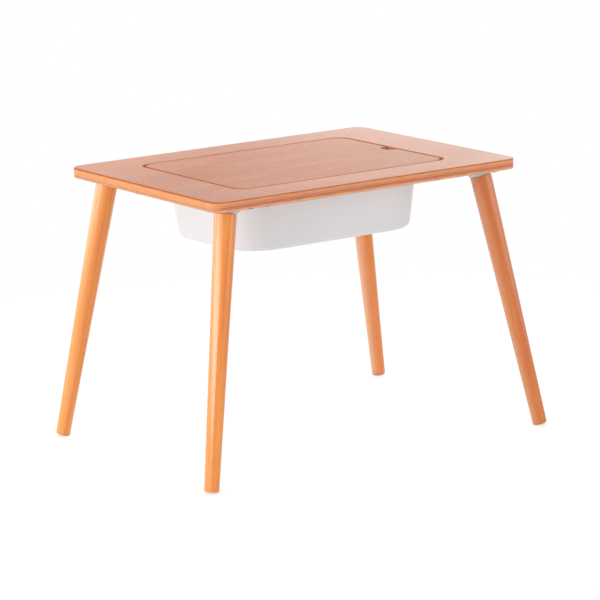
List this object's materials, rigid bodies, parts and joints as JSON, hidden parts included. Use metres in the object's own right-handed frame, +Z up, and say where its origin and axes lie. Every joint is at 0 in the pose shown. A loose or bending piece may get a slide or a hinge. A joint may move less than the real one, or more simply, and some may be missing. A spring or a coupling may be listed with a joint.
{
  "type": "play table with storage",
  "caption": "Low play table with a plywood top, splayed tapered round legs, and a lift-out storage tub under a flush lid with a finger notch.",
  "frame": {"origin": "on the floor, midway between the four feet", "axes": "+X along the tabletop's length, towards the lid's finger notch; +Y across it, from front to back; +Z up"},
  "size_m": [0.6884, 0.4966, 0.464],
  "materials": {
    "plywood": "satin lacquer",
    "leg_beech": "satin lacquer",
    "bin_plastic": "fine matt moulded",
    "plate_steel": "zinc plated",
    "nut_steel": "zinc plated",
    "bolt_steel": "zinc plated",
    "screw_steel": "zinc plated"
  },
  "bodies": {
    "table": {"tabletop": "plywood", "leg_plate_front_left": "plate_steel", "leg_plate_front_right": "plate_steel", "leg_plate_back_left": "plate_steel", "leg_plate_back_right": "plate_steel", "leg_front_left": "leg_beech", "leg_front_right": "leg_beech", "leg_back_left": "leg_beech", "leg_back_right": "leg_beech", "plate_nut_front_left": "nut_steel", "plate_nut_front_right": "nut_steel", "plate_nut_back_left": "nut_steel", "plate_nut_back_right": "nut_steel", "hanger_bolt_front_left": "bolt_steel", "hanger_bolt_front_right": "bolt_steel", "hanger_bolt_back_left": "bolt_steel", "hanger_bolt_back_right": "bolt_steel", "plate_screws_front_left": "screw_steel", "plate_screws_front_right": "screw_steel", "plate_screws_back_left": "screw_steel", "plate_screws_back_right": "screw_steel"},
    "bin": {"storage_bin": "bin_plastic"},
    "lid": {"lid": "plywood"}
  },
  "joints": [
    {"name": "bin_lift", "type": "slide", "parent": "table", "child": "bin", "axis": [0, 0, 1], "range_m": [0, 0.15]},
    {"name": "lid_lift", "type": "slide", "parent": "bin", "child": "lid", "axis": [0, 0, 1], "range_m": [0, 0.25]}
  ]
}
